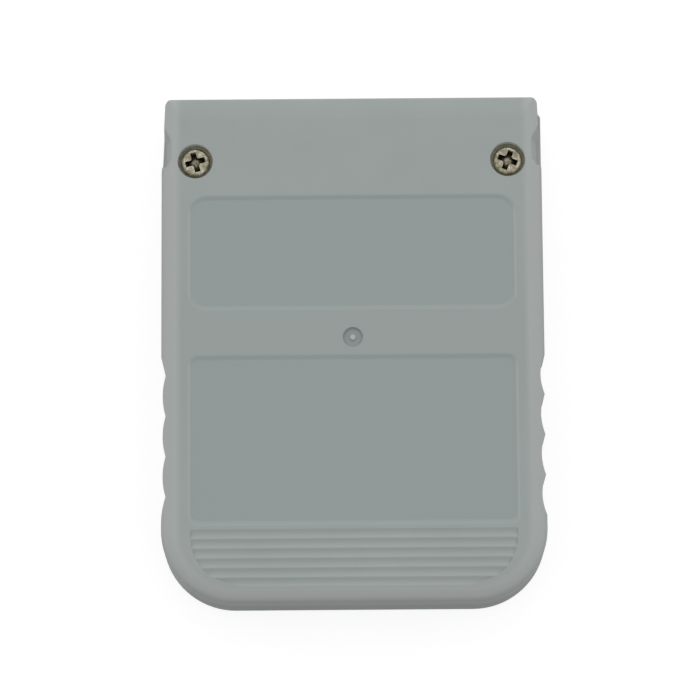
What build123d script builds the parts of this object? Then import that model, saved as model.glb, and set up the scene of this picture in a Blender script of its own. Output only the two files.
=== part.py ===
from build123d import *
import os

# Console memory card: two moulded covers, screwed together round a circuit board with edge contacts.
# The card lies on its label side. X runs across it, +Y points to the connector end and +Z out of the
# screw side. The origin is on the label face, under the middle of the card. Sizes are in millimetres.

# Stack of floor, board, tallest chip and roof, which makes the card's thickness
front_floor = 1.3
board_standoff = 1.0
board_thickness = 1.2
chip_height = 2.3
roof_gap = 0.6
rear_roof = 1.4
board_bottom = front_floor + board_standoff
board_top = board_bottom + board_thickness
roof_under = board_top + chip_height + roof_gap
card_thickness = roof_under + rear_roof
seam_height = board_top
rear_height = card_thickness - seam_height

# Edge contacts, in groups from left to right with a rib of the rear cover between groups
contact_counts = (2, 3, 3)
contact_width = 2.2
contact_thickness = 0.2
contact_length = 8.0
contact_lip = 0.8
contact_pitch = 3.5
group_pitch = 4.25
rib_count = len(contact_counts) - 1
contact_row = (sum(contact_counts) - 1 - rib_count) * contact_pitch + rib_count * group_pitch

# Connector mouth, screws and sides, which make the card's width
mouth_margin = 0.9
boss_radius = 2.1
boss_gap = 0.3
boss_side_gap = 0.1
wall = 1.6
mouth_half = contact_row / 2 + contact_width / 2 + mouth_margin
screw_x = mouth_half + boss_gap + boss_radius
inner_half = screw_x + boss_radius + boss_side_gap
half_width = inner_half + wall
card_width = 2 * half_width

# Case
card_length = 56.7
foot_corner_radius = 8.1
screw_to_end = 7.25
half_length = card_length / 2
screw_y = half_length - screw_to_end
foot_inside = wall - half_length

# Rim of the rear cover
bevel_run = 1.3
bevel_drop = 0.75
bevel_top_round = 3.4
bevel_side_round = 0.9

# Nose, which goes into the slot, with a rail along its right side
nose_length = 7.5
nose_inset = 0.45
nose_shoulder_inset = 0.1
nose_step = 0.8
nose_corner_radius = 0.85
nose_lead = 2.4
nose_lead_drop = 0.25
nose_edge_round = 0.3
nose_roof = 1.9
rail_setback = 1.9
rail_clip_slope = 1.6
nose_half = half_width - nose_inset
shoulder_half = half_width - nose_shoulder_inset
shoulder_y = half_length - nose_length

# Retention notches in the sides of the nose
notch_inset = 1.16
notch_depth = 2.4
notch_draft = 15.0
notch_front = 4.75
notch_length = 2.4
notch_ramp_slope = 2.37
notch_stop_run = 0.41
notch_stop_length = 0.8
rail_top = card_thickness - notch_depth

# Rear face: two shallow panels, a gate mark between them and a block of grooves at the foot
panel_margin = 2.96
panel_depth = 0.14
panel_draft = 74.0
upper_panel_start = 11.19
upper_panel_length = 13.06
upper_panel_radius = 2.1
panel_gap = 5.05
lower_panel_radius = 1.2
groove_count = 6
groove_pitch = 1.07
groove_width = 0.98
groove_depth = 0.12
groove_corner_radius = 5.5
groove_margin = 3.3
groove_to_panel = 0.37
foot_margin = 1.62
gate_radius = 1.1
gate_depth = 0.22
gate_shift = 0.58
gate_nub_radius = 0.32
gate_nub_height = 0.16
panel_width = card_width - 2 * panel_margin
groove_half = half_width - groove_margin
upper_panel_top = half_length - upper_panel_start
upper_panel_foot = upper_panel_top - upper_panel_length
lower_panel_top = upper_panel_foot - panel_gap
groove_foot = foot_margin - half_length
lower_panel_foot = groove_foot + groove_count * groove_pitch + groove_to_panel
gate_y = (upper_panel_foot + lower_panel_top) / 2 - gate_shift

# Label face of the front cover
front_edge_round = 0.6
label_depth = 0.25
label_start = 5.5
label_radius = 1.6
label_top = half_length - label_start

# Side grips: bumps on the left, scallops on the right
grip_count = 4
grip_pitch = 4.5
grip_to_foot = 9.45
grip_depth = 0.53
bump_crest_inset = 0.19
scallop_ridge_inset = 0.08
grip_run_out = 3.1
cutter_margin = 2.0
grip_end = grip_to_foot - half_length
grip_start = grip_end + grip_count * grip_pitch

# Screws and their bosses
head_radius = 1.65
head_height = 0.95
head_edge = 0.35
shank_radius = 0.8
recess_length = 2.4
recess_width = 0.6
recess_depth = 0.6
recess_draft = 10.0
left_screw_turn = 15.0
right_screw_turn = -20.0
head_clearance = 0.3
counterbore_depth = 1.25
boss_wall = 0.6
boss_rise = 0.9
boss_web = 1.2
hole_clearance = 0.15
thread_clearance = 0.02
pilot_skin = 0.95
tip_gap = 0.15
counterbore_radius = head_radius + head_clearance
seat_height = card_thickness - counterbore_depth
boss_meet = seam_height + boss_rise
shank_length = seat_height - pilot_skin - tip_gap
screw_spots = [(-screw_x, screw_y), (screw_x, screw_y)]

# Connector mouth
mouth_depth = 6.0
mouth_rib_width = 1.1
mouth_rib_setback = 0.4
mouth_clearance = 0.1
dust_wall = 1.0
mouth_ceiling = card_thickness - nose_roof
mouth_back = half_length - mouth_rib_setback - mouth_depth

# Joint between the covers: lips along the sides and snap tabs at the foot
lip_thickness = 0.5
lip_height = 0.8
lip_end_gap = 2.0
joint_clearance = 0.1
tab_width = 5.0
tab_spacing = 16.0
tab_thickness = 1.0
tab_reach = 1.7
barb_reach = 0.35
barb_height = 0.8
lip_front = screw_y - boss_radius - lip_end_gap
lip_back = foot_corner_radius - half_length + lip_end_gap
lip_length = lip_front - lip_back
lip_middle = (lip_front + lip_back) / 2
tab_foot = seam_height - tab_reach
barb_top = tab_foot + barb_height

# Circuit board and its seats
board_setback = 1.15
board_side_gap = 0.7
board_boss_gap = 0.4
board_corner = 0.6
board_margin = 1.4
ledge_reach = 0.9
ledge_length = 6.0
ledge_inset = 1.0
peg_radius = 0.95
peg_clearance = 0.1
peg_rise = 0.8
peg_from_side = 3.4
peg_from_back = 2.6
hold_gap = 0.05
hold_rib = 0.8
board_half = inner_half - board_side_gap
board_nose_half = mouth_half - mouth_clearance
board_front = half_length - board_setback
board_shoulder = screw_y - boss_radius - board_boss_gap

# Parts on the board, in rows from the contacts to the back
row_gap = 0.9
resistor_size = (1.25, 2.0, 0.5)
capacitor_size = (1.25, 2.0, 0.95)
tantalum_size = (3.5, 2.8, 1.9)
resonator_size = (7.4, 3.4, 1.7)
diode_size = (1.6, 2.7, 1.1)
component_edge = 0.12
chip_width = 8.6
chip_end = 0.675
chip_standoff = 0.15
chip_edge = 0.25
lead_count = 14
lead_pitch = 1.27
lead_width = 0.42
lead_thickness = 0.2
lead_reach = 1.6
lead_foot = 0.8
lead_rise = 1.0
dome_radius = 4.6
dome_height = 1.4
dome_slope_run = 2.4
dome_slope_drop = 1.0
lead_row = (lead_count - 1) * lead_pitch
lead_span = chip_width + 2 * lead_reach
chip_length = lead_row + 2 * chip_end
contact_tail = board_front - contact_length
resistor_y = contact_tail - row_gap - resistor_size[1] / 2
chip_y = resistor_y - resistor_size[1] / 2 - row_gap - lead_span / 2
dome_y = chip_y - lead_span / 2 - row_gap - dome_radius
dome_x = -dome_radius - row_gap
board_back = dome_y - dome_radius - board_margin
ledge_middle = (board_shoulder + board_back) / 2
ledge_spacing = board_shoulder - board_back - 2 * ledge_inset - ledge_length
peg_spots = [
    (peg_from_side - board_half, board_back + peg_from_back),
    (board_half - peg_from_side, board_back + peg_from_back),
]

# Places of the contacts across the card, and of the ribs between their groups
contact_places = []
rib_places = []
next_contact = -contact_row / 2
for group_size in contact_counts:
    if contact_places:
        rib_places.append(next_contact - group_pitch / 2)
    contact_places += [next_contact + contact_pitch * step for step in range(group_size)]
    next_contact = contact_places[-1] + group_pitch

os.makedirs("parts", exist_ok=True)

# Plan outlines shared by the covers
with BuildSketch() as body_outline:
    Rectangle(card_width, card_length)
    fillet(body_outline.vertices().group_by(Axis.Y)[0], foot_corner_radius)

with BuildSketch() as cavity_outline:
    add(body_outline.sketch)
    offset(amount=-wall, mode=Mode.REPLACE)

# Left grip: a straight run in, bumps between sharp valleys, and a last bump that runs out into the side
with BuildSketch() as bump_grip:
    valley_x = grip_depth - half_width
    valleys = [grip_start - grip_pitch * (step + 0.5) for step in range(grip_count)]
    run_out = valleys[-1] - grip_run_out
    with BuildLine():
        Line((-half_width, grip_start), (valley_x, valleys[0]))
        for upper, lower in zip(valleys, valleys[1:]):
            crest = (bump_crest_inset - half_width, (upper + lower) / 2)
            ThreePointArc((valley_x, upper), crest, (valley_x, lower))
        TangentArc((-half_width, run_out), (valley_x, valleys[-1]), tangent=(0, 1))
        Polyline(
            (-half_width, run_out),
            (-half_width - cutter_margin, run_out),
            (-half_width - cutter_margin, grip_start),
            (-half_width, grip_start),
        )
    make_face()

# Right grip: scallops that meet in ridges just inside the side
with BuildSketch() as scallop_grip:
    ridge_x = half_width - scallop_ridge_inset
    ridges = [(ridge_x, grip_start - grip_pitch * step) for step in range(1, grip_count)]
    stops = [(half_width, grip_start), *ridges, (half_width, grip_end)]
    with BuildLine():
        for upper, lower in zip(stops, stops[1:]):
            ThreePointArc(upper, (half_width - grip_depth, (upper[1] + lower[1]) / 2), lower)
        Polyline(
            stops[-1],
            (half_width + cutter_margin, grip_end),
            (half_width + cutter_margin, grip_start),
            stops[0],
        )
    make_face()

# Waste beside the nose, whose sides narrow from a small shoulder to rounded corners
with BuildSketch() as nose_outline:
    with BuildLine():
        Polyline(
            (0, shoulder_y - nose_step),
            (half_width, shoulder_y - nose_step),
            (shoulder_half, shoulder_y),
            (nose_half, half_length),
            (0, half_length),
            close=True,
        )
    make_face()
    fillet(nose_outline.vertices().group_by(Axis.Y)[-1].sort_by(Axis.X)[-1], nose_corner_radius)
    mirror(about=Plane.YZ)

with BuildSketch() as nose_waste:
    with Locations((0, half_length)):
        Rectangle(card_width, nose_length + nose_step, align=(Align.CENTER, Align.MAX))
    add(nose_outline.sketch, mode=Mode.SUBTRACT)

# Waste through both covers: all of it but for the rail, whose end is clipped
with BuildSketch() as rail_waste:
    add(nose_waste.sketch)
    with BuildLine():
        Polyline(
            (0, shoulder_y - nose_step),
            (half_width, shoulder_y - nose_step),
            (half_width, half_length - rail_setback),
            (nose_half, half_length - rail_setback + nose_inset * rail_clip_slope),
            (0, half_length - rail_setback + nose_inset * rail_clip_slope),
            close=True,
        )
    make_face(mode=Mode.SUBTRACT)

# Waste of the grip grooves: hollows with slanted ends that stop short of the round of the foot corners
with BuildPart() as groove_waste:
    for step in range(groove_count):
        lower_y = groove_foot + step * groove_pitch
        upper_y = lower_y + groove_width
        ends = []
        for groove_y in (lower_y, upper_y):
            below_round = max(groove_foot + groove_corner_radius - groove_y, 0)
            shortening = groove_corner_radius - (groove_corner_radius**2 - below_round**2) ** 0.5
            ends.append(groove_half - shortening)
        lower_end, upper_end = ends
        with BuildPart():
            with BuildSketch(Plane.YZ):
                with BuildLine():
                    ThreePointArc((lower_y, 0), ((lower_y + upper_y) / 2, -groove_depth), (upper_y, 0))
                    Polyline((upper_y, 0), (upper_y, groove_depth), (lower_y, groove_depth), (lower_y, 0))
                make_face()
            extrude(amount=groove_half, both=True)
            with BuildSketch(Plane.XY.offset(-groove_depth)):
                with BuildLine():
                    Polyline(
                        (-lower_end, lower_y),
                        (lower_end, lower_y),
                        (upper_end, upper_y),
                        (-upper_end, upper_y),
                        close=True,
                    )
                make_face()
            extrude(amount=2 * groove_depth, mode=Mode.INTERSECT)

# Screw-side cover
with BuildPart() as rear_cover:
    with BuildSketch(Plane.XY.offset(seam_height)):
        add(body_outline.sketch)
    extrude(amount=rear_height)

    # Soft bevel along both sides and round the foot
    rear_face = rear_cover.faces().sort_by(Axis.Z)[-1]
    chamfer(rear_face.edges().sort_by(Axis.Y)[:-1], bevel_run, bevel_drop, reference=rear_face)
    fillet(rear_cover.edges().filter_by(Plane.XY).group_by(Axis.Z)[1], bevel_side_round)
    fillet(rear_cover.faces().sort_by(Axis.Z)[-1].edges().sort_by(Axis.Y)[:-1], bevel_top_round)

    # Nose: tapered sides, and a face that curves down to its end
    with BuildSketch(Plane.XY.offset(rail_top)):
        add(nose_waste.sketch)
    extrude(amount=notch_depth, mode=Mode.SUBTRACT)
    with BuildSketch(Plane.XY.offset(seam_height)):
        add(rail_waste.sketch)
    extrude(amount=rear_height, mode=Mode.SUBTRACT)
    with BuildSketch(Plane.YZ):
        with BuildLine():
            lead = TangentArc(
                (half_length - nose_lead, card_thickness),
                (half_length - nose_edge_round, card_thickness - nose_lead_drop),
                tangent=(1, 0),
            )
            end_round = TangentArc(
                lead @ 1,
                (half_length, card_thickness - nose_lead_drop - nose_edge_round),
                tangent=lead % 1,
            )
            Polyline(end_round @ 1, (half_length, card_thickness), lead @ 0)
        make_face()
    extrude(amount=half_width, both=True, mode=Mode.SUBTRACT)

    # Side grips
    with BuildSketch(Plane.XY.offset(seam_height)):
        add(bump_grip.sketch)
        add(scallop_grip.sketch)
    extrude(amount=rear_height, mode=Mode.SUBTRACT)

    # Retention notches: a ramp from the connector end, and a stop at the shoulder
    with BuildSketch(Plane.XY.offset(card_thickness)):
        notch_x = half_width - notch_inset
        outside_x = half_width + cutter_margin
        ramp_y = half_length - notch_front
        stop_y = ramp_y - notch_length
        with BuildLine():
            Polyline(
                (notch_x, stop_y),
                (notch_x, ramp_y),
                (outside_x, ramp_y + (outside_x - notch_x) * notch_ramp_slope),
                (outside_x, stop_y - notch_stop_length),
                (notch_x + notch_stop_run, stop_y - notch_stop_length),
                close=True,
            )
        make_face()
        mirror(about=Plane.YZ)
    extrude(amount=-notch_depth, taper=notch_draft, mode=Mode.SUBTRACT)

    # Hollow, with the connector mouth through the end wall
    with BuildSketch(Plane.XY.offset(seam_height)):
        add(cavity_outline.sketch)
    extrude(amount=roof_under - seam_height, mode=Mode.SUBTRACT)
    with BuildSketch(Plane.XY.offset(seam_height)):
        with Locations((0, half_length)):
            Rectangle(2 * mouth_half, wall, align=(Align.CENTER, Align.MAX))
    extrude(amount=mouth_ceiling - seam_height, mode=Mode.SUBTRACT)

    # Ribs between the groups of contacts, and a dust wall behind them
    with BuildSketch(Plane.XY.offset(board_top + mouth_clearance)):
        with Locations(*[(rib_x, mouth_back) for rib_x in rib_places]):
            Rectangle(mouth_rib_width, mouth_depth, align=(Align.CENTER, Align.MIN))
    extrude(amount=roof_under - board_top - mouth_clearance)
    with BuildSketch(Plane.XY.offset(board_top + contact_thickness + mouth_clearance)):
        with Locations((0, mouth_back)):
            Rectangle(2 * mouth_half, dust_wall, align=(Align.CENTER, Align.MAX))
    extrude(amount=roof_under - board_top - contact_thickness - mouth_clearance)

    # Screw bosses, and ribs that hold the board down on its ledges
    with BuildSketch(Plane.XY.offset(boss_meet)):
        with Locations(*screw_spots):
            Circle(counterbore_radius + boss_wall)
    extrude(amount=roof_under - boss_meet)
    with Locations(*[(x, y, card_thickness) for x, y in screw_spots]):
        CounterBoreHole(shank_radius + hole_clearance, counterbore_radius, counterbore_depth)
    with BuildSketch(Plane.XY.offset(board_top + hold_gap)):
        with Locations((0, ledge_middle)):
            with GridLocations(2 * board_half - hold_rib, ledge_spacing, 2, 2):
                Rectangle(hold_rib, ledge_length)
    extrude(amount=roof_under - board_top - hold_gap)

    # Panels, grooves and gate mark on the rear face
    with BuildSketch(Plane.XY.offset(card_thickness)):
        with Locations((0, (upper_panel_top + upper_panel_foot) / 2)):
            RectangleRounded(panel_width, upper_panel_length, upper_panel_radius)
        with Locations((0, (lower_panel_top + lower_panel_foot) / 2)):
            RectangleRounded(panel_width, lower_panel_top - lower_panel_foot, lower_panel_radius)
    extrude(amount=-panel_depth, taper=panel_draft, mode=Mode.SUBTRACT)
    with Locations((0, 0, card_thickness)):
        add(groove_waste.part, mode=Mode.SUBTRACT)
    with BuildSketch(Plane.XY.offset(card_thickness)):
        with Locations((0, gate_y)):
            Circle(gate_radius)
    extrude(amount=-gate_depth, mode=Mode.SUBTRACT)
    with BuildSketch(Plane.XY.offset(card_thickness - gate_depth)):
        with Locations((0, gate_y)):
            Circle(gate_nub_radius)
    extrude(amount=gate_nub_height)

    # Lips inside the front cover's side walls, and barbed snap tabs inside its foot
    with BuildSketch(Plane.XY.offset(seam_height - lip_height)):
        with Locations((0, lip_middle)):
            with GridLocations(2 * inner_half + lip_thickness, 0, 2, 1):
                Rectangle(lip_thickness, lip_length)
    extrude(amount=lip_height)
    tab_sides = [-(tab_spacing + tab_width) / 2, (tab_spacing - tab_width) / 2]
    with BuildSketch(*[Plane.YZ.offset(side) for side in tab_sides]):
        tab_face = foot_inside + joint_clearance
        with BuildLine():
            Polyline(
                (foot_inside, seam_height),
                (tab_face, seam_height),
                (tab_face, barb_top),
                (foot_inside - barb_reach, barb_top),
                (tab_face, tab_foot),
                (tab_face + tab_thickness, tab_foot),
                (tab_face + tab_thickness, roof_under),
                (foot_inside, roof_under),
                close=True,
            )
        make_face()
    extrude(amount=tab_width)

rear_cover.part.label = "rear_cover"
export_step(rear_cover.part, "parts/rear_cover.step")

# Label-side cover
with BuildPart() as front_cover:
    with BuildSketch():
        add(body_outline.sketch)
    extrude(amount=seam_height)
    fillet(front_cover.faces().sort_by(Axis.Z)[0].edges(), front_edge_round)
    with BuildSketch():
        add(rail_waste.sketch)
        add(bump_grip.sketch)
        add(scallop_grip.sketch)
    extrude(amount=seam_height, mode=Mode.SUBTRACT)

    # Bare label recess and grooves on the label face
    with BuildSketch():
        with Locations((0, (label_top + lower_panel_foot) / 2)):
            RectangleRounded(panel_width, label_top - lower_panel_foot, label_radius)
    extrude(amount=label_depth, taper=panel_draft, mode=Mode.SUBTRACT)
    add(groove_waste.part.mirror(Plane.XY), mode=Mode.SUBTRACT)

    # Hollow, with a sill for the board in the connector mouth
    with BuildSketch(Plane.XY.offset(front_floor)):
        add(cavity_outline.sketch)
    extrude(amount=seam_height - front_floor, mode=Mode.SUBTRACT)
    with BuildSketch(Plane.XY.offset(board_bottom)):
        with Locations((0, half_length)):
            Rectangle(2 * mouth_half, wall, align=(Align.CENTER, Align.MAX))
    extrude(amount=seam_height - board_bottom, mode=Mode.SUBTRACT)

    # Ledges under the board and pegs through it
    with BuildSketch(Plane.XY.offset(front_floor)):
        ledge_width = inner_half - board_half + ledge_reach
        with Locations((0, ledge_middle)):
            with GridLocations(2 * inner_half - ledge_width, ledge_spacing, 2, 2):
                Rectangle(ledge_width, ledge_length)
    extrude(amount=board_standoff)
    with BuildSketch(Plane.XY.offset(front_floor)):
        with Locations(*peg_spots):
            Circle(peg_radius)
    extrude(amount=board_top + peg_rise - front_floor)

    # Screw bosses, webbed to the side walls
    with BuildSketch(Plane.XY.offset(front_floor)):
        with Locations((0, screw_y)):
            with GridLocations(screw_x + inner_half, 0, 2, 1):
                Rectangle(inner_half - screw_x, boss_web)
    extrude(amount=seam_height - front_floor)
    with BuildSketch(Plane.XY.offset(front_floor)):
        with Locations(*screw_spots):
            Circle(boss_radius)
    extrude(amount=boss_meet - front_floor)
    with Locations(*[(x, y, boss_meet) for x, y in screw_spots]):
        Hole(shank_radius + thread_clearance, boss_meet - pilot_skin)

    # Rebates for the lips and pockets for the barbs
    with BuildSketch(Plane.XY.offset(seam_height)):
        rebate_width = lip_thickness + joint_clearance
        with Locations((0, lip_middle)):
            with GridLocations(2 * inner_half + rebate_width, 0, 2, 1):
                Rectangle(rebate_width, lip_length + 2 * joint_clearance)
    extrude(amount=-lip_height - joint_clearance, mode=Mode.SUBTRACT)
    with BuildSketch(Plane.XY.offset(tab_foot - joint_clearance)):
        with Locations((0, foot_inside)):
            with GridLocations(tab_spacing, 0, 2, 1):
                Rectangle(
                    tab_width + 2 * joint_clearance,
                    barb_reach + joint_clearance,
                    align=(Align.CENTER, Align.MAX),
                )
    extrude(amount=barb_height + 2 * joint_clearance, mode=Mode.SUBTRACT)

front_cover.part.label = "front_cover"
export_step(front_cover.part, "parts/front_cover.step")

# Two pan-head screws with a cross recess, each turned as it was left
with BuildPart() as case_screws:
    with Locations(*[(x, y, seat_height) for x, y in screw_spots]):
        Cylinder(head_radius, head_height, align=(Align.CENTER, Align.CENTER, Align.MIN))
        Cylinder(shank_radius, shank_length, align=(Align.CENTER, Align.CENTER, Align.MAX))
    chamfer(case_screws.edges().group_by(Axis.Z)[-1], head_edge)
    turns = (left_screw_turn, right_screw_turn)
    head_top = seat_height + head_height
    head_planes = [
        Plane((x, y, head_top)).rotated((0, 0, turn)) for (x, y), turn in zip(screw_spots, turns)
    ]
    with BuildSketch(*head_planes):
        Rectangle(recess_length, recess_width)
        Rectangle(recess_width, recess_length)
    extrude(amount=-recess_depth, taper=recess_draft, mode=Mode.SUBTRACT)

case_screws.part.label = "case_screws"
export_step(case_screws.part, "parts/case_screws.step")

# Circuit board, narrowed between the screw bosses
with BuildPart() as circuit_board:
    with BuildSketch(Plane.XY.offset(board_bottom)) as board_plan:
        with Locations((0, board_front)):
            Rectangle(2 * board_nose_half, board_front - board_back, align=(Align.CENTER, Align.MAX))
        with Locations((0, board_shoulder)):
            Rectangle(2 * board_half, board_shoulder - board_back, align=(Align.CENTER, Align.MAX))
        chamfer(board_plan.vertices().group_by(Axis.Y)[-1], board_corner)
        with Locations(*peg_spots):
            Circle(peg_radius + peg_clearance, mode=Mode.SUBTRACT)
    extrude(amount=board_thickness)

circuit_board.part.label = "circuit_board"
export_step(circuit_board.part, "parts/circuit_board.step")

# Edge contacts, each a strip that is bent over the edge of the board
for number, contact_x in enumerate(contact_places, start=1):
    with BuildPart() as contact:
        with BuildSketch(Plane.YZ.offset(contact_x - contact_width / 2)) as strip:
            with BuildLine():
                Polyline(
                    (contact_tail, board_top),
                    (board_front, board_top),
                    (board_front, board_top - contact_lip),
                    (board_front + contact_thickness, board_top - contact_lip),
                    (board_front + contact_thickness, board_top + contact_thickness),
                    (contact_tail, board_top + contact_thickness),
                    close=True,
                )
            make_face()
            chamfer(strip.vertices().group_by(Axis.Y)[-1].sort_by(Axis.Z)[-1], contact_thickness / 2)
        extrude(amount=contact_width)
    contact.part.label = f"contact_{number}"
    export_step(contact.part, f"parts/contact_{number}.step")

# Memory chip: a moulded body with a row of bent leads on each long side
with BuildPart() as memory_chip:
    with Locations((0, chip_y, board_top + chip_standoff)):
        Box(
            chip_length,
            chip_width,
            chip_height - chip_standoff,
            align=(Align.CENTER, Align.CENTER, Align.MIN),
        )
    chamfer(memory_chip.faces().sort_by(Axis.Z)[-1].edges(), chip_edge)
    lead_planes = [
        Plane((step * lead_pitch - lead_row / 2 - lead_width / 2, chip_y, board_top), (0, 1, 0), (1, 0, 0))
        for step in range(lead_count)
    ]
    with BuildSketch(*lead_planes):
        riser = lead_span / 2 - lead_foot
        with BuildLine():
            Polyline(
                (lead_span / 2, 0),
                (lead_span / 2, lead_thickness),
                (riser + lead_thickness, lead_thickness),
                (riser + lead_thickness, lead_rise + lead_thickness),
                (0, lead_rise + lead_thickness),
                (0, lead_rise),
                (riser, lead_rise),
                (riser, 0),
                close=True,
            )
        make_face()
        mirror(about=Plane.YZ)
    extrude(amount=lead_width)

memory_chip.part.label = "memory_chip"
export_step(memory_chip.part, "parts/memory_chip.step")

# Controller die under a dome of resin
with BuildPart() as controller_dome:
    with Locations((dome_x, dome_y, board_top)):
        Cylinder(dome_radius, dome_height, align=(Align.CENTER, Align.CENTER, Align.MIN))
    dome_face = controller_dome.faces().sort_by(Axis.Z)[-1]
    chamfer(dome_face.edges(), dome_slope_run, dome_slope_drop, reference=dome_face)

controller_dome.part.label = "controller_dome"
export_step(controller_dome.part, "parts/controller_dome.step")

# Small soldered blocks: name, size, and centre on the board. The flat resistors have square edges.
beside_chip = chip_length / 2 + row_gap + capacitor_size[0] / 2
front_row = dome_y + dome_radius - resonator_size[1] / 2
back_row = front_row - resonator_size[1] / 2 - row_gap - tantalum_size[1] / 2
resonator_x = row_gap + resonator_size[0] / 2
diode_x = resonator_x + resonator_size[0] / 2 + row_gap + diode_size[0] / 2
tantalum_x = row_gap + tantalum_size[0] / 2
last_capacitor_x = tantalum_x + tantalum_size[0] / 2 + row_gap + capacitor_size[0] / 2
blocks = [
    ("chip_resistor_1", resistor_size, contact_places[1], resistor_y),
    ("chip_resistor_2", resistor_size, contact_places[3], resistor_y),
    ("chip_resistor_3", resistor_size, contact_places[4], resistor_y),
    ("chip_resistor_4", resistor_size, contact_places[6], resistor_y),
    ("ceramic_capacitor_1", capacitor_size, -beside_chip, chip_y),
    ("ceramic_capacitor_2", capacitor_size, beside_chip, chip_y),
    ("ceramic_capacitor_3", capacitor_size, last_capacitor_x, back_row),
    ("tantalum_capacitor", tantalum_size, tantalum_x, back_row),
    ("ceramic_resonator", resonator_size, resonator_x, front_row),
    ("protection_diode", diode_size, diode_x, front_row),
]
for name, size, block_x, block_y in blocks:
    with BuildPart() as block:
        with Locations((block_x, block_y, board_top)):
            Box(*size, align=(Align.CENTER, Align.CENTER, Align.MIN))
        if size is not resistor_size:
            chamfer(block.faces().sort_by(Axis.Z)[-1].edges(), component_edge)
    block.part.label = name
    export_step(block.part, f"parts/{name}.step")
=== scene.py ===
import math

import bmesh
import bpy
from mathutils import Matrix, Vector


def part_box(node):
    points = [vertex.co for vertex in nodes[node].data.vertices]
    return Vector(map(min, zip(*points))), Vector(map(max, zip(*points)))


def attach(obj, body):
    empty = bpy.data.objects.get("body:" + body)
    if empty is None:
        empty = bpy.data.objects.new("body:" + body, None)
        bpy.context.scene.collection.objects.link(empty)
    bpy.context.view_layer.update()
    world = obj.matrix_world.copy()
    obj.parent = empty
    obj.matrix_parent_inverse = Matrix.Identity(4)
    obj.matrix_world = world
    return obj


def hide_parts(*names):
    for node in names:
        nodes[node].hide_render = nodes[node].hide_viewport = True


# Looks of a console memory card. Metres, in the frame of the CAD model: the card lies on its label face,
# +X runs across it, +Y points to its connector end and +Z out of its screw side.
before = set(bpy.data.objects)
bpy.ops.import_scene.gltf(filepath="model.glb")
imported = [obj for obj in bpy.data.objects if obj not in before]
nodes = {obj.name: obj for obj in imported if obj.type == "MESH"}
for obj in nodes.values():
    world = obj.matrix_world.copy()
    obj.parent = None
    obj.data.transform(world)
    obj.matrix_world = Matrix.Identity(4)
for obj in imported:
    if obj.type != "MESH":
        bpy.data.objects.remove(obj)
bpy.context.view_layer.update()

MM = 0.001
contacts = sorted(name for name in nodes if name.startswith("contact_"))
resistors = sorted(name for name in nodes if name.startswith("chip_resistor_"))
capacitors = sorted(name for name in nodes if name.startswith("ceramic_capacitor_"))

# Covers, as in the CAD model
rear_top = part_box("rear_cover")[1].z
label_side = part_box("front_cover")[0].z
half_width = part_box("rear_cover")[1].x
half_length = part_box("rear_cover")[1].y
panel_depth = 0.14 * MM
panel_blend = 0.04 * MM
panel_half = 17.95 * MM
panel_edge = 18.24 * MM
# Painted highlight along the upper edge of the panels' side walls: how far below the face it starts and where
# it is full
lip_highlight_start = 0.004 * MM
lip_highlight_full = 0.02 * MM
panel_end = 17.2 * MM
groove_start = -20.2 * MM
# Painted light on the soft rim round the sides and the foot, and down its wall
foot_corner = 8.1 * MM
rim_start = 2.3 * MM
rim_full = 1.65 * MM
rim_stop = 2.5 * MM
rim_end = 4.0 * MM
# Painted shade across the middle of the face: full within the near distance of the middle, gone beyond the
# far one
middle_shade_near = 4 * MM
middle_shade_far = 12 * MM
gate_y = 0.995 * MM
gate_radius = 1.1 * MM
gate_nub = 0.36 * MM
rim_foot_shift = 0.35 * MM
edge_radius = 0.14 * MM
crest_radius = 0.20 * MM

# Screws
screw_low, screw_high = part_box("case_screws")
screw_segments = 64
head_radius = (screw_high.y - screw_low.y) / 2
head_top = screw_high.z
screw_x = screw_high.x - head_radius
screw_y = (screw_low.y + screw_high.y) / 2
head_height = 0.95 * MM
seat = head_top - head_height
head_shoulder = 0.42 * MM
head_crown = 0.05 * MM
head_rings = 8
shank_radius = 0.8 * MM
thread_depth = 0.18 * MM
thread_pitch = 0.62 * MM
thread_steps = 6
recess_arm = 1.25 * MM
recess_half = 0.33 * MM
recess_ear = 0.14 * MM
recess_depth = 0.66 * MM
recess_tip = 0.18 * MM
recess_floor_share = 0.55
recess_above = 0.1 * MM
body_sharp = 40
recess_sharp = 32
# Painted shade in the cross recesses of the heads
recess_shade_start = 0.06 * MM
recess_shade_full = 0.26 * MM
recess_shade_tip = 0.2 * MM
recess_shade_reach = 0.5 * MM
# Painted light on the walls of the screws' holes
ring_light_reach = 2.0 * MM
ring_light_blend = 0.08 * MM
screw_turns = {"case_screw_left": 15.0, "case_screw_right": -20.0}

# Printed tracks and solder
board_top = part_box("circuit_board")[1].z
lead_count = 14
lead_pitch = 1.27 * MM
track_width = 0.36 * MM
track_height = 0.035 * MM
track_under = 0.3 * MM
joint_length = 0.35 * MM
joint_width = 0.56 * MM
joint_height = 0.32 * MM
joint_steps = 4
track_sharp = 30
joint_sharp = 50

# Grain of the materials: the size of its features, and the depth of its relief
case_cloud = 7 * MM
case_speck = 0.35 * MM
case_texture = 0.11 * MM
case_ripple = 2.6 * MM
case_relief = 0.012 * MM
screw_edge = 0.06 * MM
screw_blotch = 0.55 * MM
screw_pits = 0.09 * MM
screw_relief = 0.06 * MM
contact_streak = 0.12 * MM
contact_cloud = 1.4 * MM
weave_pitch = 0.5 * MM
board_cloud = 4 * MM
track_cloud = 2 * MM
solder_frost = 0.12 * MM
block_grain = 0.3 * MM
chip_grain = 0.2 * MM
chip_relief = 0.015 * MM
resin_ripple = 2.2 * MM
resin_grain = 0.25 * MM
resin_relief = 0.2 * MM
lid_streak = 0.08 * MM
fine_relief = 0.01 * MM

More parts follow.
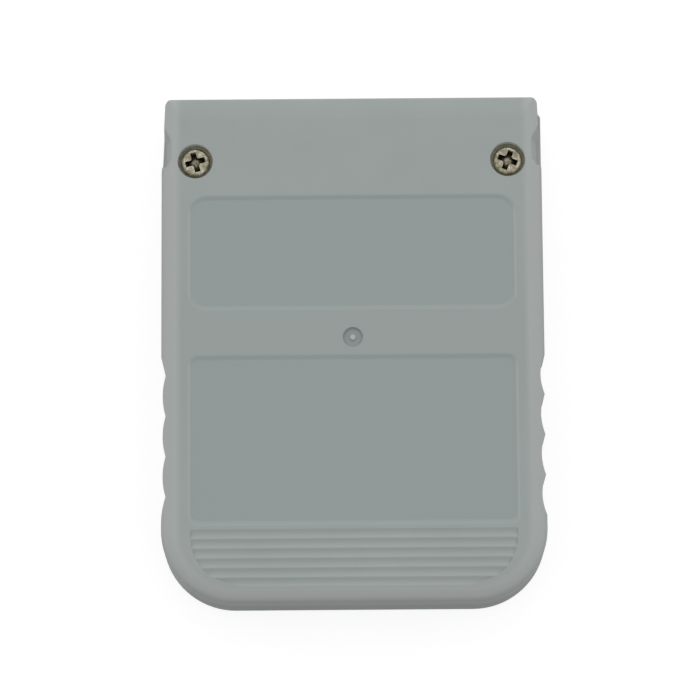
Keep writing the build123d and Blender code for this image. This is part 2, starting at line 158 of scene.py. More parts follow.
# Values of noise between which a tone goes from one end to the other
soft_range = (0.35, 0.65)
wide_range = (0.3, 0.7)

# Likeness of the rounded to the plain normal, from off an edge to on it
edge_likeness = (0.995, 0.86)
bevel_samples = 6

# Chip and resonator, as in the CAD model
chip_half_body = 4.32 * MM
lead_blend = 0.02 * MM
lid_start = 0.7 * MM
lid_full = 0.72 * MM
stripe_range = (0.72, 0.73)
tinned_blend = 0.01

# Camera, fitted to the edges of the object in the photograph
image_pixels = 700
focal_pixels = 4044
sensor = 36.0
camera_distance = 450 * MM
camera_target = Vector((-0.32, 0.31, 4.0)) * MM
camera_tilt = math.radians(11.53)
camera_roll = math.radians(-0.43)
clip_near = 0.01

# Floor
floor_half = 6.0
floor_gap = 0.02 * MM

# Sky: how bright it is behind the foot and behind the connector end, and what the sides add
sky_foot = 0.22
sky_end = 0.68
sky_sides = 0.745
sky_foot_reach = -0.8
sky_end_reach = 0.4

# Soft lamp: name, place, width and height, and power in watts
softboxes = (
    ("end_softbox", (0, 0.50, 0.25), (0.7, 0.3), 0.6),
)

# Colours, linear
case_grey = (0.323, 0.36, 0.351, 1)
case_light = (0.34, 0.374, 0.364, 1)
# Painted shade across the middle of the face
middle_shade_grey = (0.322, 0.356, 0.347, 1)
# Painted light on the rim and its wall
rim_light_grey = (0.387, 0.410, 0.401, 1)
# Painted highlight on the panels' side walls
lip_highlight_grey = (0.364, 0.392, 0.381, 1)
panel_grey = (0.301, 0.345, 0.339, 1)
gate_grey = (0.284, 0.321, 0.318, 1)
nub_pale = (0.44, 0.46, 0.46, 1)
edge_grey = (0.40, 0.43, 0.42, 1)
nickel = (0.52, 0.495, 0.4, 1)
nickel_dull = (0.27, 0.24, 0.165, 1)
tarnish = (0.10, 0.08, 0.04, 1)
# Painted shade in the cross recesses
recess_shade_colour = (0.028, 0.022, 0.010, 1)
# Painted light on the walls of the screws' holes
ring_light_colour = (0.6, 0.6, 0.5, 1)
gold = (0.83, 0.60, 0.25, 1)
gold_worn = (0.70, 0.48, 0.20, 1)
tin = (0.72, 0.71, 0.68, 1)
tin_dull = (0.52, 0.52, 0.50, 1)
resist_green = (0.022, 0.135, 0.055, 1)
resist_light = (0.040, 0.200, 0.085, 1)
track_green = (0.06, 0.26, 0.11, 1)
laminate = (0.36, 0.34, 0.18, 1)
chip_black = (0.022, 0.022, 0.024, 1)
chip_grey = (0.040, 0.040, 0.042, 1)
ceramic_tan = (0.45, 0.33, 0.20, 1)
ceramic_pale = (0.56, 0.43, 0.28, 1)
ochre = (0.60, 0.33, 0.05, 1)
ochre_dark = (0.42, 0.21, 0.03, 1)
stripe_brown = (0.13, 0.06, 0.02, 1)
resonator_base = (0.30, 0.27, 0.22, 1)
floor_pale = (0.25, 0.25, 0.25, 1)
floor_glow = 0.83
pure_white = (1, 1, 1, 1)


# Node helpers
def new_tree(name):
    """A material with its node tree and shader."""
    material = bpy.data.materials.new(name)
    material.use_nodes = True
    return material, material.node_tree, material.node_tree.nodes["Principled BSDF"]


def add(tree, kind, inputs, **settings):
    """A node with its settings, and with its inputs set or linked by name or place."""
    made = tree.nodes.new(kind)
    for name, value in settings.items():
        setattr(made, name, value)
    for place, value in inputs.items():
        if isinstance(value, bpy.types.NodeSocket):
            tree.links.new(value, made.inputs[place])
        else:
            made.inputs[place].default_value = value
    return made


def maths(tree, operation, first, second=0.0):
    return add(tree, "ShaderNodeMath", {0: first, 1: second}, operation=operation).outputs[0]


def product(tree, first, *others):
    """Several shares multiplied."""
    for other in others:
        first = maths(tree, "MULTIPLY", first, other)
    return first


def length_of(tree, along_x, along_y):
    """Length of a way across the card, from its parts along X and Y."""
    way = add(tree, "ShaderNodeCombineXYZ", {0: along_x, 1: along_y}).outputs[0]
    return add(tree, "ShaderNodeVectorMath", {0: way}, operation="LENGTH").outputs["Value"]


def remap(tree, value, low, high, start=0.0, end=1.0):
    """value from low to high becomes start to end, and stays within them."""
    inputs = {"Value": value, "From Min": low, "From Max": high, "To Min": start, "To Max": end}
    return add(tree, "ShaderNodeMapRange", inputs).outputs["Result"]


def blend(tree, share, first, second):
    """A colour that goes from first to second with share."""
    made = add(tree, "ShaderNodeMix", {0: share, 6: first, 7: second}, data_type="RGBA")
    return made.outputs[2]


def grain(tree, place, size, detail=2.0, roughness=0.5):
    """Noise with features of about that size in metres."""
    inputs = {"Vector": place, "Scale": 1 / size, "Detail": detail, "Roughness": roughness}
    return add(tree, "ShaderNodeTexNoise", inputs).outputs["Fac"]


def object_place(tree):
    """Coordinates in the frame of the CAD model, as a vector and split."""
    place = add(tree, "ShaderNodeTexCoord", {}).outputs["Object"]
    return place, add(tree, "ShaderNodeSeparateXYZ", {0: place}).outputs


def soft_edges(tree, radius):
    """A normal that rounds sharp edges, and a mask that is 1 on them."""
    rounded = add(tree, "ShaderNodeBevel", {"Radius": radius}, samples=bevel_samples).outputs[0]
    plain = add(tree, "ShaderNodeNewGeometry", {}).outputs["Normal"]
    likeness = add(tree, "ShaderNodeVectorMath", {0: rounded, 1: plain}, operation="DOT_PRODUCT")
    return rounded, remap(tree, likeness.outputs["Value"], *edge_likeness)


def from_screws(tree, axes):
    """Distance from the axis of the nearer screw."""
    off_x = maths(tree, "SUBTRACT", maths(tree, "ABSOLUTE", axes["X"]), screw_x)
    return length_of(tree, off_x, maths(tree, "SUBTRACT", axes["Y"], screw_y))


def bump(tree, height, distance, strength, normal=None):
    inputs = {"Height": height, "Distance": distance, "Strength": strength}
    if normal is not None:
        inputs["Normal"] = normal
    return add(tree, "ShaderNodeBump", inputs).outputs[0]


def connect(tree, shader, colour=None, roughness=None, normal=None, metallic=None):
    sockets = {"Base Color": colour, "Roughness": roughness, "Normal": normal, "Metallic": metallic}
    for name, value in sockets.items():
        if value is not None:
            tree.links.new(value, shader.inputs[name])


# Materials
def panel_masks(tree, axes, across, under_grooves):
    """Shares of all shallow hollows, of the two panels' floors and of the painted highlight along the upper
    edge of their side walls.
    """
    below_face = remap(tree, axes["Z"], rear_top - panel_blend / 4, rear_top - panel_depth / 2)
    above_hollow = remap(tree, axes["Z"], rear_top - 3 * panel_depth, rear_top - 2 * panel_depth)
    above_grooves = remap(tree, under_grooves, 1.0, 0.0)
    below_end = remap(tree, axes["Y"], panel_end + panel_blend, panel_end)
    between_sides = remap(tree, across, panel_half + panel_blend, panel_half - panel_blend)
    sunk_rows = product(tree, above_hollow, above_grooves, below_end)
    panel = product(tree, sunk_rows, below_face, between_sides)
    # Painted highlight: the upper part of the side walls, between the floor and the panel's edge
    on_wall = remap(tree, across, panel_edge + 2 * panel_blend, panel_edge + panel_blend)
    started = remap(tree, axes["Z"], rear_top - lip_highlight_start, rear_top - lip_highlight_full)
    past_floor = remap(tree, between_sides, 1.0, 0.0)
    lip_highlight = product(tree, on_wall, started, past_floor, sunk_rows)
    return product(tree, below_face, above_hollow), panel, lip_highlight


def rim_light_mask(tree, axes, across):
    """Share of the painted light on the soft rim along both sides and round the foot, and down the wall under
    it.
    """
    foot_line = -half_length - rim_foot_shift
    corner_x = maths(tree, "MAXIMUM", maths(tree, "SUBTRACT", across, half_width - foot_corner), 0.0)
    corner_y = maths(tree, "MAXIMUM", maths(tree, "SUBTRACT", foot_line + foot_corner, axes["Y"]), 0.0)
    to_outline = maths(tree, "SUBTRACT", foot_corner, length_of(tree, corner_x, corner_y))
    above_wall = remap(tree, axes["Z"], rear_top - rim_end, rear_top - rim_stop)
    return product(tree, remap(tree, to_outline, rim_start, rim_full), above_wall)


def gate_tone(tree, axes, across, hollow, colour):
    """The colour with the gate mark's darker hollow and its torn, pale nub."""
    from_gate = length_of(tree, across, maths(tree, "SUBTRACT", axes["Y"], gate_y))
    in_gate = remap(tree, from_gate, gate_radius + panel_blend, gate_radius - panel_blend)
    on_nub = remap(tree, from_gate, gate_nub, gate_nub - 2 * panel_blend)
    torn = blend(tree, on_nub, gate_grey, nub_pale)
    return blend(tree, product(tree, in_gate, hollow), colour, torn)


def screw_ring_light(tree, axes, colour):
    """The colour with painted light on the walls of the screws' holes, down to their seats."""
    round_screw = remap(tree, from_screws(tree, axes), ring_light_reach + ring_light_blend, ring_light_reach)
    sunk = remap(tree, axes["Z"], rear_top - ring_light_blend, rear_top - 4 * ring_light_blend)
    above_seat = remap(tree, axes["Z"], seat - 2 * ring_light_blend, seat - ring_light_blend)
    return blend(tree, product(tree, round_screw, sunk, above_seat), colour, ring_light_colour)


def case_plastic():
    """Grey moulded plastic with a fine eroded texture, and smoother, bluer panel floors."""
    material, tree, shader = new_tree("case_plastic")
    place, axes = object_place(tree)
    across = maths(tree, "ABSOLUTE", axes["X"])
    under_grooves = remap(tree, axes["Y"], groove_start + panel_blend, groove_start - panel_blend)
    radius = remap(tree, under_grooves, 0.0, 1.0, edge_radius, crest_radius)
    normal, edge = soft_edges(tree, radius)
    hollow, panel, lip_highlight = panel_masks(tree, axes, across, under_grooves)
    # Painted shade across the middle of the face, fading out towards both ends
    middle = remap(tree, maths(tree, "ABSOLUTE", axes["Y"]), middle_shade_far, middle_shade_near)
    cloud = grain(tree, place, case_cloud, detail=3.0)
    speck = grain(tree, place, case_speck, detail=4.0, roughness=0.65)
    mixed = maths(tree, "ADD", product(tree, cloud, 0.65), product(tree, speck, 0.35))
    plain = blend(tree, remap(tree, mixed, *soft_range), case_grey, case_light)
    face = blend(tree, middle, plain, middle_shade_grey)
    # Painted light on the rim and down its wall
    rim_lit = blend(tree, rim_light_mask(tree, axes, across), face, rim_light_grey)
    # Painted highlight on the panels' side walls
    highlighted = blend(tree, lip_highlight, rim_lit, lip_highlight_grey)
    floors = blend(tree, panel, highlighted, panel_grey)
    # Painted light on the walls of the screws' holes
    ring_lit = screw_ring_light(tree, axes, gate_tone(tree, axes, across, hollow, floors))
    rubbed = product(tree, edge, remap(tree, speck, 0.35, 0.7, 0.1, 0.55))
    colour = blend(tree, rubbed, ring_lit, edge_grey)
    texture = grain(tree, place, case_texture, detail=3.0, roughness=0.6)
    ripple = grain(tree, place, case_ripple)
    depth = maths(tree, "ADD", texture, product(tree, ripple, 0.8))
    strength = remap(tree, panel, 0.0, 1.0, 0.35, 0.14)
    relief = bump(tree, depth, case_relief, strength, normal)
    dull = remap(tree, texture, *wide_range, 0.58, 0.70)
    roughness = maths(tree, "SUBTRACT", dull, product(tree, panel, 0.10))
    connect(tree, shader, colour, roughness, relief)
    shader.inputs["Specular IOR Level"].default_value = 0.28
    return material


def screw_nickel():
    """Nickel plate, dull and brassy where it is worn, with fine pits."""
    material, tree, shader = new_tree("screw_nickel")
    place, axes = object_place(tree)
    normal, edge = soft_edges(tree, screw_edge)
    blotch = grain(tree, place, screw_blotch, detail=4.0, roughness=0.65)
    pits = grain(tree, place, screw_pits, detail=3.0)
    worn = remap(tree, blotch, 0.42, 0.60)
    plate = blend(tree, worn, nickel, nickel_dull)
    stained = blend(tree, remap(tree, pits, 0.50, 0.68), plate, tarnish)
    shining = blend(tree, maths(tree, "MULTIPLY", edge, 0.6), stained, tin)
    radius = from_screws(tree, axes)
    # Painted shade in the cross recess, weaker round its middle
    deep = remap(tree, axes["Z"], head_top - recess_shade_start, head_top - recess_shade_full)
    inside = remap(tree, radius, recess_arm + recess_shade_start, recess_arm)
    off_tip = remap(tree, radius, recess_shade_tip, recess_shade_reach, 0.12, 1.0)
    in_head = remap(tree, axes["Z"], seat, seat + recess_shade_start)
    recess = maths(tree, "MULTIPLY", maths(tree, "MULTIPLY", deep, in_head), inside)
    recess_shade = maths(tree, "MULTIPLY", recess, off_tip)
    colour = blend(tree, recess_shade, shining, recess_shade_colour)
    roughness = remap(tree, blotch, 0.35, 0.7, 0.20, 0.40)
    depth = maths(tree, "ADD", maths(tree, "MULTIPLY", blotch, 1.6), maths(tree, "MULTIPLY", pits, 0.5))
    connect(tree, shader, colour, roughness, bump(tree, depth, screw_relief, 0.9, normal))
    shader.inputs["Metallic"].default_value = 1.0
    return material


def contact_gold():
    """Gold plate, with streaks along the way that the slot's springs wipe it."""
    material, tree, shader = new_tree("contact_gold")
    place, _ = object_place(tree)
    along = add(tree, "ShaderNodeVectorMath", {0: place, 1: (1, 0.04, 1)}, operation="MULTIPLY").outputs[0]
    streak = grain(tree, along, contact_streak, detail=3.0)
    cloud = grain(tree, place, contact_cloud, detail=3.0)
    worn = remap(tree, maths(tree, "ADD", streak, cloud), 0.85, 1.25)
    colour = blend(tree, worn, gold, gold_worn)
    roughness = remap(tree, streak, *wide_range, 0.18, 0.38)
    connect(tree, shader, colour, roughness, bump(tree, streak, fine_relief, 0.3))
    shader.inputs["Metallic"].default_value = 1.0
    return material


def board_resist():
    """Green solder resist on both faces of a pale glass laminate, whose weave shows faintly."""
    material, tree, shader = new_tree("board_resist")
    place, axes = object_place(tree)
    weave_x = maths(tree, "SINE", maths(tree, "MULTIPLY", axes["X"], math.tau / weave_pitch))
    weave_y = maths(tree, "SINE", maths(tree, "MULTIPLY", axes["Y"], math.tau / weave_pitch))
    weave = maths(tree, "MULTIPLY", weave_x, weave_y)
    cloud = grain(tree, place, board_cloud, detail=3.0)
    tone = maths(tree, "ADD", cloud, maths(tree, "MULTIPLY", weave, 0.12))
    face = blend(tree, remap(tree, tone, 0.3, 0.8), resist_green, resist_light)
    facing = add(tree, "ShaderNodeSeparateXYZ", {0: add(tree, "ShaderNodeNewGeometry", {}).outputs["Normal"]})
    upright = maths(tree, "ABSOLUTE", facing.outputs["Z"])
    colour = blend(tree, remap(tree, upright, 0.4, 0.6), laminate, face)
    roughness = remap(tree, cloud, *wide_range, 0.28, 0.42)
    connect(tree, shader, colour, roughness, bump(tree, weave, fine_relief, 0.25))
    return material


def covered_track():
    """A copper track under the green resist."""
    material, tree, shader = new_tree("covered_track")
    place, _ = object_place(tree)
    cloud = grain(tree, place, track_cloud, detail=3.0)
    colour = blend(tree, remap(tree, cloud, *wide_range), resist_light, track_green)
    roughness = remap(tree, cloud, *wide_range, 0.24, 0.36)
    connect(tree, shader, colour, roughness, bump(tree, cloud, fine_relief, 0.2))
    return material


def solder_tin():
    """Frosted solder."""
    material, tree, shader = new_tree("solder_tin")
    place, _ = object_place(tree)
    frost = grain(tree, place, solder_frost, detail=4.0)
    colour = blend(tree, remap(tree, frost, *soft_range), tin, tin_dull)
    roughness = remap(tree, frost, *wide_range, 0.25, 0.45)
    connect(tree, shader, colour, roughness, bump(tree, frost, fine_relief, 0.4))
    shader.inputs["Metallic"].default_value = 1.0
    return material


def tinned_block(name, first, second, axis, share, roughness, stripe=None):
    """A moulded or ceramic block whose ends, along one axis of its own box, are tinned."""
    material, tree, shader = new_tree(name)
    place, _ = object_place(tree)
    inside = add(tree, "ShaderNodeTexCoord", {}).outputs["Generated"]
    along = add(tree, "ShaderNodeSeparateXYZ", {0: inside}).outputs[axis]
    from_middle = maths(tree, "ABSOLUTE", maths(tree, "SUBTRACT", along, 0.5))
    end = remap(tree, from_middle, 0.5 - share, 0.5 + tinned_blend - share)
    tone = grain(tree, place, block_grain, detail=4.0)
    body = blend(tree, remap(tree, tone, *soft_range), first, second)
    if stripe is not None:
        body = blend(tree, remap(tree, along, *stripe_range), body, stripe)
    colour = blend(tree, end, body, tin)
    dull = remap(tree, tone, *wide_range, roughness - 0.06, roughness + 0.06)
    connect(tree, shader, colour, dull, bump(tree, tone, fine_relief, 0.3), end)
    return material


def leaded_chip():
    """Black moulding compound, with tinned leads outside the body."""
    material, tree, shader = new_tree("leaded_chip")
    place, axes = object_place(tree)
    low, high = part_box("memory_chip")
    off_axis = maths(tree, "ABSOLUTE", maths(tree, "SUBTRACT", axes["Y"], (low.y + high.y) / 2))
    lead = remap(tree, off_axis, chip_half_body, chip_half_body + lead_blend)
    tone = grain(tree, place, chip_grain, detail=4.0)
    body = blend(tree, remap(tree, tone, *soft_range), chip_black, chip_grey)
    colour = blend(tree, lead, body, tin)
    roughness = remap(tree, lead, 0.0, 1.0, 0.55, 0.3)
    connect(tree, shader, colour, roughness, bump(tree, tone, chip_relief, 0.4), lead)
    return material


def resin_cap():
    """Black resin, glossy, with a slow ripple from pouring."""
    material, tree, shader = new_tree("resin_cap")
    place, _ = object_place(tree)
    ripple = grain(tree, place, resin_ripple)
    fine = grain(tree, place, resin_grain, detail=3.0)
    colour = blend(tree, remap(tree, fine, *soft_range), chip_black, chip_grey)
    roughness = remap(tree, ripple, *wide_range, 0.16, 0.3)
    connect(tree, shader, colour, roughness, bump(tree, ripple, resin_relief, 0.4))
    return material


def resonator_can():
    """A brushed metal lid on a ceramic base."""
    material, tree, shader = new_tree("resonator_can")
    place, axes = object_place(tree)
    along = add(tree, "ShaderNodeVectorMath", {0: place, 1: (0.05, 1, 1)}, operation="MULTIPLY").outputs[0]
    streak = grain(tree, along, lid_streak, detail=3.0)
    low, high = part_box("ceramic_resonator")
    lid = remap(tree, axes["Z"], low.z + lid_start, low.z + lid_full)
    metal = blend(tree, remap(tree, streak, *soft_range), tin, tin_dull)
    colour = blend(tree, lid, resonator_base, metal)
    roughness = remap(tree, streak, *wide_range, 0.25, 0.42)
    connect(tree, shader, colour, roughness, bump(tree, streak, fine_relief, 0.3), lid)
    return material


def studio_floor():
    """White paper that keeps the object's shadow."""
    material, tree, shader = new_tree("studio_floor")
    tree.nodes.remove(shader)
    ray = add(tree, "ShaderNodeLightPath", {}).outputs
    seen = maths(tree, "MAXIMUM", ray["Is Camera Ray"], ray["Is Glossy Ray"])
    glow = maths(tree, "MULTIPLY", maths(tree, "MAXIMUM", seen, ray["Is Transmission Ray"]), floor_glow)
    paper = add(tree, "ShaderNodeBsdfDiffuse", {"Color": floor_pale}).outputs[0]
    lit = add(tree, "ShaderNodeEmission", {"Color": pure_white, "Strength": glow}).outputs[0]
    both = add(tree, "ShaderNodeAddShader", {0: paper, 1: lit}).outputs[0]
    tree.links.new(both, tree.nodes["Material Output"].inputs["Surface"])
    return material


# Mesh helpers
def new_piece(name, mesh_builder, material, smooth_angle):
    """A new object from a filled bmesh, riding on the card."""
    mesh = bpy.data.meshes.new(name)
    mesh_builder.to_mesh(mesh)
    mesh_builder.free()
    piece = bpy.data.objects.new(name, mesh)
    bpy.context.scene.collection.objects.link(piece)
    mesh.materials.append(material)
    mesh.shade_smooth()
    mesh.set_sharp_from_angle(angle=math.radians(smooth_angle))
    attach(piece, "root")
    return piece


def ring(builder, radius_at, height_at):
    """One ring of vertices whose radius and height follow its angle."""
    made = []
    for step in range(screw_segments):
        angle = math.tau * step / screw_segments
        radius = radius_at(angle)
        made.append(builder.verts.new((radius * math.cos(angle), radius * math.sin(angle), height_at(angle))))
    return made


def skin(builder, rings):
    """Faces between each ring and the next, and a face on both ends."""
    for lower, upper in zip(rings, rings[1:]):
        for step in range(screw_segments):
            following = (step + 1) % screw_segments
            builder.faces.new((lower[step], lower[following], upper[following], upper[step]))
    builder.faces.new(list(reversed(rings[0])))
    builder.faces.new(rings[-1])


def plain_ring(builder, radius, height):
    return ring(builder, lambda angle: radius, lambda angle: height)


def screw_body():
    """A pan-head screw on the Z axis, with its seat at zero: thread, head and shoulder."""
    builder = bmesh.new()
    length = screw_high.z - screw_low.z - head_height
    root = shank_radius - thread_depth
    steps = round(length / thread_pitch * thread_steps)
    rings = [plain_ring(builder, root, -length)]
    for step in range(1, steps):
        height = -length * (1 - step / steps)

        def crest(angle, height=height):
            turn = (height / thread_pitch - angle / math.tau) % 1.0
            ends = min(1.0, -height / thread_pitch, (height + length) / thread_pitch)
            return root + thread_depth * ends * max(0.0, 1 - abs(2 * turn - 1) * 1.5)

        rings.append(ring(builder, crest, lambda angle, height=height: height))
    rings.append(plain_ring(builder, root, 0.0))
    rings.append(plain_ring(builder, head_radius - 2 * head_crown, 0.0))
    for step in range(head_rings + 1):
        angle = math.pi / 2 * step / head_rings
        radius = head_radius - head_shoulder * (1 - math.cos(angle))
        rise = head_height - head_crown - head_shoulder * (1 - math.sin(angle))
        rings.append(plain_ring(builder, radius, rise))
    rings.append(plain_ring(builder, head_radius / 2, head_height))
    skin(builder, rings)
    return builder


def cross_outline(arm, half, ear):
    """Corners of a cross with the inner corners cut off by ear."""
    quarter = [(arm, -half), (arm, half), (half + ear, half), (half, half + ear)]
    corners = []
    for step in range(4):
        turn = Matrix.Rotation(math.pi / 2 * step, 2)
        corners += [turn @ Vector(corner) for corner in quarter]
    return corners


def recess_cutter(name):
    """A tapered cross that ends in a short point, standing on the top of the head."""
    builder = bmesh.new()
    wide = cross_outline(recess_arm, recess_half, recess_ear)
    narrow = cross_outline(recess_arm * recess_floor_share, recess_half * 0.8, recess_ear)
    levels = [(wide, head_height + recess_above), (narrow, head_height - recess_depth)]
    upper, lower = [
        [builder.verts.new((corner.x, corner.y, height)) for corner in corners] for corners, height in levels
    ]
    tip = builder.verts.new((0, 0, head_height - recess_depth - recess_tip))
    builder.faces.new(upper)
    for step in range(len(upper)):
        following = (step + 1) % len(upper)
        builder.faces.new((upper[following], upper[step], lower[step], lower[following]))
        builder.faces.new((lower[following], lower[step], tip))
    mesh = bpy.data.meshes.new(name)
    bmesh.ops.recalc_face_normals(builder, faces=builder.faces)
    builder.to_mesh(mesh)
    builder.free()
    return bpy.data.objects.new(name, mesh)


def case_screw(name, place, turn, material):
    """One screw, turned as it was left, with the cross cut into its head."""
    builder = screw_body()
    bmesh.ops.recalc_face_normals(builder, faces=builder.faces)
    screw = new_piece(name, builder, material, body_sharp)
    cutter = recess_cutter(name + "_cutter")
    bpy.context.scene.collection.objects.link(cutter)
    cut = screw.modifiers.new("recess", "BOOLEAN")
    cut.operation = "DIFFERENCE"
    cut.solver = "EXACT"
    cut.object = cutter
    finished = bpy.data.meshes.new_from_object(screw.evaluated_get(bpy.context.evaluated_depsgraph_get()))
    screw.modifiers.remove(cut)
    bpy.data.objects.remove(cutter)
    finished.transform(Matrix.Translation(place) @ Matrix.Rotation(math.radians(turn), 4, "Z"))
    finished.shade_smooth()
    finished.set_sharp_from_angle(angle=math.radians(recess_sharp))
    screw.data = finished
    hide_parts("case_screws")


def strip(builder, route):
    """A flat raised track of one width along a route of two or more points on the board."""
    edges = []
    for step, point in enumerate(route):
        before = route[max(step - 1, 0)]
        after = route[min(step + 1, len(route) - 1)]
        ways = [way.normalized() for way in (point - before, after - point) if way.length]
        middle = sum(ways, Vector((0, 0))).normalized()
        across = Vector((-middle.y, middle.x)) * track_width / 2 / max(0.5, middle.dot(ways[0]))
        edges.append((point + across, point - across))
    levels = (board_top, board_top + track_height)
    corners = [[[builder.verts.new((p.x, p.y, z)) for z in levels] for p in pair] for pair in edges]
    for near, far in zip(corners, corners[1:]):
        (near_left, near_right), (far_left, far_right) = near, far
        builder.faces.new((near_left[1], near_right[1], far_right[1], far_left[1]))
        builder.faces.new((near_left[0], far_left[0], far_right[0], near_right[0]))
        builder.faces.new((near_left[0], near_left[1], far_left[1], far_left[0]))
        builder.faces.new((near_right[0], far_right[0], far_right[1], near_right[1]))
    for left, right in (corners[0], corners[-1]):
        builder.faces.new((left[0], right[0], right[1], left[1]))


def solder_fillet(builder, foot, way, width, height):
    """A hollow fillet of solder that runs out from foot along way on the board."""
    across = Vector((-way.y, way.x)) * width / 2
    profile = [(0.0, 0.0), (joint_length, 0.0)]
    for step in range(1, joint_steps + 1):
        angle = math.pi / 2 * step / joint_steps
        profile.append((joint_length * (1 - math.sin(angle)), height * (1 - math.cos(angle))))
    sides = []
    for side in (across, -across):
        flat = [(foot + side + way * run, board_top + rise) for run, rise in profile]
        sides.append([builder.verts.new((point.x, point.y, z)) for point, z in flat])
    left, right = sides
    builder.faces.new(left)
    builder.faces.new(list(reversed(right)))
    for step in range(len(profile)):
        following = (step + 1) % len(profile)
        builder.faces.new((left[step], right[step], right[following], left[following]))


# Pieces that the CAD model leaves to the looks
def middle_of(name):
    low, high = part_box(name)
    return (low + high) / 2


def lead_places():
    """The X of each lead of the memory chip."""
    middle = middle_of("memory_chip").x
    return [middle + (step - (lead_count - 1) / 2) * lead_pitch for step in range(lead_count)]


def board_tracks(material):
    """Tracks from the contacts through the resistors to the chip, and from it to the parts behind it."""
    builder = bmesh.new()
    chip_low, chip_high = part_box("memory_chip")
    resistor_low, resistor_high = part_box(resistors[0])
    with_resistor = {round(middle_of(name).x / MM, 2) for name in resistors}
    for name in contacts:
        low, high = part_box(name)
        x = (low.x + high.x) / 2
        lead_x = min(lead_places(), key=lambda place: abs(place - x))
        start = Vector((x, low.y + track_under))
        bend = Vector((x, resistor_low.y - track_under))
        end = Vector((lead_x, chip_high.y - track_under))
        if round(x / MM, 2) in with_resistor:
            strip(builder, [start, Vector((x, resistor_high.y - track_under))])
            strip(builder, [Vector((x, resistor_low.y + track_under)), bend, end])
        else:
            strip(builder, [start, bend, end])
    for name in ("controller_dome", "ceramic_resonator"):
        low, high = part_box(name)
        for x in lead_places():
            if low.x + joint_width < x < high.x - joint_width:
                reach = (low.y + high.y) / 2
                strip(builder, [Vector((x, chip_low.y + track_under)), Vector((x, reach))])
    bmesh.ops.recalc_face_normals(builder, faces=builder.faces)
    new_piece("board_tracks", builder, material, track_sharp)


def solder_joints(material):
    """Solder at the toe of each lead, at both ends of each block, and behind each contact."""
    builder = bmesh.new()
    low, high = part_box("memory_chip")
    ahead = Vector((0, 1))
    aside = Vector((1, 0))
    for x in lead_places():
        solder_fillet(builder, Vector((x, high.y)), ahead, joint_width, joint_height)
        solder_fillet(builder, Vector((x, low.y)), -ahead, joint_width, joint_height)
    for name in [*resistors, *capacitors, "protection_diode"]:
        low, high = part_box(name)
        rise = min(joint_height, (high.z - low.z) / 2)
        solder_fillet(builder, Vector((middle_of(name).x, high.y)), ahead, high.x - low.x, rise)
        solder_fillet(builder, Vector((middle_of(name).x, low.y)), -ahead, high.x - low.x, rise)
    for name in ("tantalum_capacitor", "ceramic_resonator"):
        low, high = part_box(name)
        solder_fillet(builder, Vector((high.x, middle_of(name).y)), aside, high.y - low.y, joint_height)
        solder_fillet(builder, Vector((low.x, middle_of(name).y)), -aside, high.y - low.y, joint_height)
    for name in contacts:
        low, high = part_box(name)
        solder_fillet(builder, Vector((middle_of(name).x, low.y)), -ahead, high.x - low.x, track_under / 2)
    bmesh.ops.recalc_face_normals(builder, faces=builder.faces)
    new_piece("solder_joints", builder, material, joint_sharp)


# Stage
def softbox(name, place, size, power):
    """A rectangular lamp that faces the middle of the rear face."""
    lamp = bpy.data.lights.new(name, "AREA")
    lamp.shape = "RECTANGLE"
    lamp.size, lamp.size_y = size
    lamp.energy = power
    holder = bpy.data.objects.new(name, lamp)
    holder.location = place
    holder.rotation_euler = (Vector((0, 0, rear_top)) - Vector(place)).to_track_quat("-Z", "Y").to_euler()
    bpy.context.scene.collection.objects.link(holder)


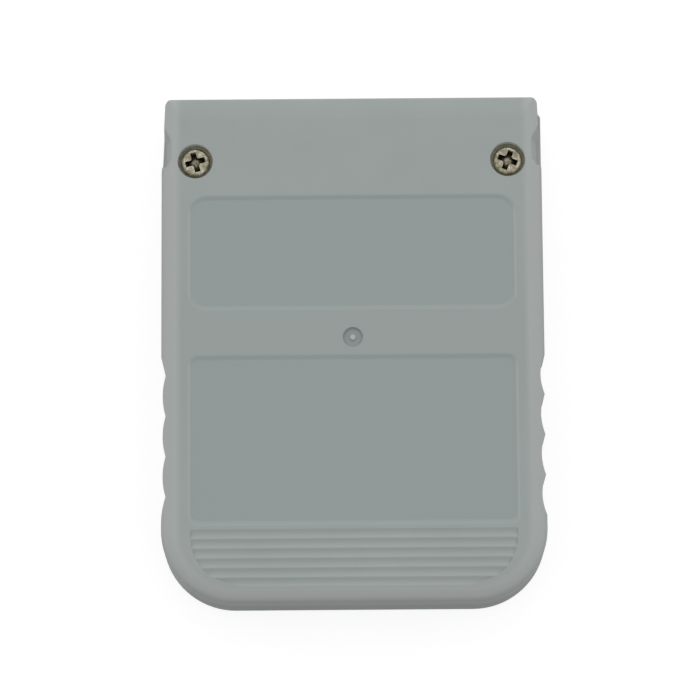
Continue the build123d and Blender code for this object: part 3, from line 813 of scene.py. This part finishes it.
def studio():
    """Floor, world and soft lamps: most of the light comes from the connector end and from the sides."""
    builder = bmesh.new()
    bmesh.ops.create_grid(builder, x_segments=1, y_segments=1, size=floor_half)
    mesh = bpy.data.meshes.new("floor")
    builder.to_mesh(mesh)
    builder.free()
    floor = bpy.data.objects.new("floor", mesh)
    floor.location.z = label_side - floor_gap
    mesh.materials.append(studio_floor())
    bpy.context.scene.collection.objects.link(floor)

    world = bpy.data.worlds.new("studio")
    world.use_nodes = True
    bpy.context.scene.world = world
    tree = world.node_tree
    ray = add(tree, "ShaderNodeLightPath", {}).outputs
    mirrored = maths(tree, "MAXIMUM", ray["Is Glossy Ray"], ray["Is Transmission Ray"])
    seen = maths(tree, "MAXIMUM", ray["Is Camera Ray"], mirrored)
    way = add(tree, "ShaderNodeTexCoord", {}).outputs["Generated"]
    parts = add(tree, "ShaderNodeSeparateXYZ", {0: way}).outputs
    along = remap(tree, parts["Y"], sky_foot_reach, sky_end_reach, sky_foot, sky_end)
    aside = maths(tree, "MULTIPLY", maths(tree, "ABSOLUTE", parts["X"]), sky_sides)
    strength = remap(tree, seen, 0.0, 1.0, maths(tree, "ADD", along, aside), 1.0)
    tree.links.new(strength, tree.nodes["Background"].inputs["Strength"])
    tree.nodes["Background"].inputs["Color"].default_value = pure_white
    for box in softboxes:
        softbox(*box)


def photo_camera():
    """The camera of the photograph, which looks down from the foot end."""
    back = Vector((0, -math.sin(camera_tilt), math.cos(camera_tilt)))
    level = Vector((1, 0, 0))
    up = back.cross(level)
    right = level * math.cos(camera_roll) + up * math.sin(camera_roll)
    upward = up * math.cos(camera_roll) - level * math.sin(camera_roll)
    lens = bpy.data.cameras.new("photo_camera")
    lens.sensor_width = sensor
    lens.lens = focal_pixels * sensor / image_pixels
    lens.clip_start = clip_near
    camera = bpy.data.objects.new("photo_camera", lens)
    turn = Matrix((right, upward, back)).transposed().to_4x4()
    camera.matrix_world = Matrix.Translation(camera_target + back * camera_distance) @ turn
    bpy.context.scene.collection.objects.link(camera)
    bpy.context.scene.camera = camera


def dress(name, material):
    """Gives a CAD node its finished material."""
    nodes[name].data.materials.clear()
    nodes[name].data.materials.append(material)


plastic = case_plastic()
dress("rear_cover", plastic)
dress("front_cover", plastic)
gilding = contact_gold()
for contact in contacts:
    dress(contact, gilding)
dress("circuit_board", board_resist())
dress("memory_chip", leaded_chip())
dress("controller_dome", resin_cap())
dress("ceramic_resonator", resonator_can())
glaze = tinned_block("resistor_glaze", chip_black, chip_grey, "Y", 0.2, 0.35)
for resistor in resistors:
    dress(resistor, glaze)
ceramic = tinned_block("capacitor_ceramic", ceramic_tan, ceramic_pale, "Y", 0.2, 0.45)
for capacitor in capacitors:
    dress(capacitor, ceramic)
tantalum = tinned_block("tantalum_moulding", ochre, ochre_dark, "X", 0.08, 0.5, stripe_brown)
dress("tantalum_capacitor", tantalum)
dress("protection_diode", tinned_block("diode_moulding", chip_black, chip_grey, "Y", 0.12, 0.5))

plating = screw_nickel()
case_screw("case_screw_left", Vector((-screw_x, screw_y, seat)), screw_turns["case_screw_left"], plating)
case_screw("case_screw_right", Vector((screw_x, screw_y, seat)), screw_turns["case_screw_right"], plating)
board_tracks(covered_track())
solder_joints(solder_tin())
studio()
photo_camera()
bpy.context.scene.view_settings.view_transform = "Standard"
